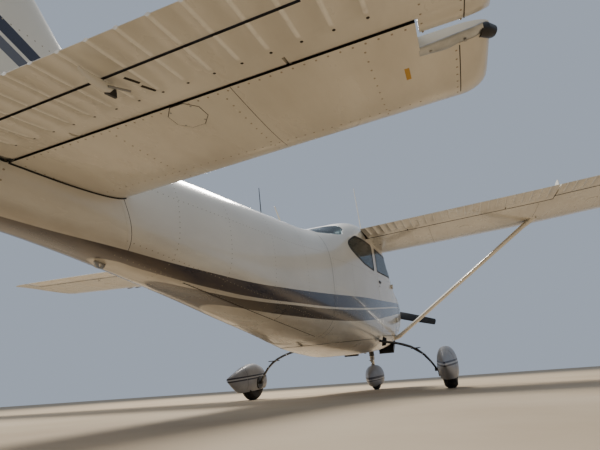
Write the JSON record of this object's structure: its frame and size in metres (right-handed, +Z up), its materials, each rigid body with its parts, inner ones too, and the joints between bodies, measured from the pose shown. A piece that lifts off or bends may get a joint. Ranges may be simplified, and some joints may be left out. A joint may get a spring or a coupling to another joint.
{
  "type": "high-wing light aircraft",
  "caption": "High-wing, strut-braced light aircraft on fixed tricycle gear with wheel fairings, hinged control surfaces, doors and a turning propeller.",
  "frame": {"origin": "centre of the parked aircraft's footprint, on the ground", "axes": "+X to the left wing tip, +Y aft along the fuselage, +Z up"},
  "size_m": [11, 8.714, 2.6388],
  "materials": {
    "white_paint": "gloss",
    "grey_paint": "satin",
    "window": "gloss",
    "tyre_rubber": "matte",
    "bare_steel": "satin",
    "engine_iron": "matte",
    "exhaust_steel": "matte",
    "propeller_paint": "satin",
    "cabin_cloth": "matte",
    "panel_plastic": "matte",
    "moulded_cowl": "gloss",
    "aerial_black": "matte",
    "leg_steel": "gloss",
    "firewall_steel": "satin"
  },
  "bodies": {
    "airframe": {"cowl_upper": "moulded_cowl", "cowl_lower": "moulded_cowl", "firewall": "firewall_steel", "engine_block": "engine_iron", "exhaust_pipe": "exhaust_steel", "cowl_flap_left": "white_paint", "cowl_flap_right": "white_paint", "belly": "white_paint", "cabin_side_left": "white_paint", "cabin_side_right": "white_paint", "cabin_roof": "white_paint", "windshield": "window", "rear_window": "window", "quarter_window_left": "window", "quarter_window_right": "window", "instrument_panel": "panel_plastic", "seat_front_left": "cabin_cloth", "seat_front_right": "cabin_cloth", "seat_rear": "cabin_cloth", "baggage_bulkhead": "panel_plastic", "tail_cone": "white_paint", "fin": "white_paint", "stabilizer_left": "white_paint", "stabilizer_right": "white_paint", "wing_left": "white_paint", "wing_right": "white_paint", "wing_strut_left": "white_paint", "wing_strut_right": "white_paint", "gear_leg_left": "leg_steel", "gear_leg_right": "leg_steel", "wheel_fairing_left": "grey_paint", "wheel_fairing_right": "grey_paint", "nose_strut": "bare_steel", "aerial_tail_whip": "aerial_black", "aerial_tail_blade": "white_paint", "aerial_roof_whip": "white_paint"},
    "left_door": {"door_left": "white_paint", "door_window_left": "window"},
    "right_door": {"door_right": "white_paint", "door_window_right": "window"},
    "left_flap": {"flap_left": "white_paint"},
    "right_flap": {"flap_right": "white_paint"},
    "left_aileron": {"aileron_left": "white_paint"},
    "right_aileron": {"aileron_right": "white_paint"},
    "elevators": {"elevator_left": "white_paint", "elevator_right": "white_paint", "elevator_torque_tube": "bare_steel", "trim_tab": "white_paint"},
    "rudder_unit": {"rudder": "white_paint"},
    "nose_gear": {"nose_fork": "bare_steel", "nose_fairing": "grey_paint"},
    "nose_wheel": {"nose_tyre": "tyre_rubber", "nose_hub": "white_paint"},
    "left_wheel": {"main_tyre_left": "tyre_rubber", "main_hub_left": "white_paint"},
    "right_wheel": {"main_tyre_right": "tyre_rubber", "main_hub_right": "white_paint"},
    "propeller_unit": {"propeller": "propeller_paint", "spinner": "moulded_cowl"}
  },
  "joints": [
    {"name": "left_door_hinge", "type": "hinge", "parent": "airframe", "child": "left_door", "pos_m": [0.602, -2.43093, 1.19149], "axis": [0, -0.0872, -0.9962], "range_deg": [0, 65]},
    {"name": "left_flap_hinge", "type": "hinge", "parent": "airframe", "child": "left_flap", "pos_m": [0.612, -1.0235, 1.59546], "axis": [-0.9995, -0.001, -0.0323], "range_deg": [0, 40]},
    {"name": "left_aileron_hinge", "type": "hinge", "parent": "airframe", "child": "left_aileron", "pos_m": [2.7, -0.89538, 1.8978], "axis": [-0.998, 0.034, -0.0531], "range_deg": [-18, 18]},
    {"name": "right_door_hinge", "type": "hinge", "parent": "airframe", "child": "right_door", "pos_m": [-0.602, -2.43093, 1.19149], "axis": [0, 0.0872, 0.9962], "range_deg": [0, 65]},
    {"name": "right_flap_hinge", "type": "hinge", "parent": "airframe", "child": "right_flap", "pos_m": [-0.612, -1.0235, 1.59546], "axis": [-0.9995, 0.001, 0.0323], "range_deg": [0, 40]},
    {"name": "right_aileron_hinge", "type": "hinge", "parent": "airframe", "child": "right_aileron", "pos_m": [-2.7, -0.89538, 1.8978], "axis": [-0.998, -0.034, 0.0531], "range_deg": [-18, 18]},
    {"name": "elevator_hinge", "type": "hinge", "parent": "airframe", "child": "elevators", "pos_m": [0, 2.88671, 0.95513], "axis": [1, 0, 0], "range_deg": [0, 38]},
    {"name": "rudder_hinge", "type": "hinge", "parent": "airframe", "child": "rudder_unit", "pos_m": [0, 2.91328, 0.75405], "axis": [0, 0.472, 0.8816], "range_deg": [-24, 24]},
    {"name": "nose_steering", "type": "hinge", "parent": "airframe", "child": "nose_gear", "pos_m": [0, -3.06176, 0.78492], "axis": [0, 0.256, 0.9667], "range_deg": [-29, 29]},
    {"name": "nose_wheel_spin", "type": "hinge", "parent": "nose_gear", "child": "nose_wheel", "pos_m": [0, -3.22585, 0.16537], "axis": [1, 0, 0], "continuous": true},
    {"name": "left_wheel_spin", "type": "hinge", "parent": "airframe", "child": "left_wheel", "pos_m": [1.275, -1.426, 0.21137], "axis": [1, 0, 0], "continuous": true},
    {"name": "right_wheel_spin", "type": "hinge", "parent": "airframe", "child": "right_wheel", "pos_m": [-1.275, -1.426, 0.21137], "axis": [1, 0, 0], "continuous": true},
    {"name": "propeller_spin", "type": "hinge", "parent": "airframe", "child": "propeller_unit", "pos_m": [0, -4.09619, 1.38737], "axis": [0, -0.9962, 0.0872], "continuous": true}
  ],
  "couplings": [
    {"joint": "right_flap_hinge", "follows": "left_flap_hinge", "ratio": 1},
    {"joint": "right_aileron_hinge", "follows": "left_aileron_hinge", "ratio": -1}
  ]
}
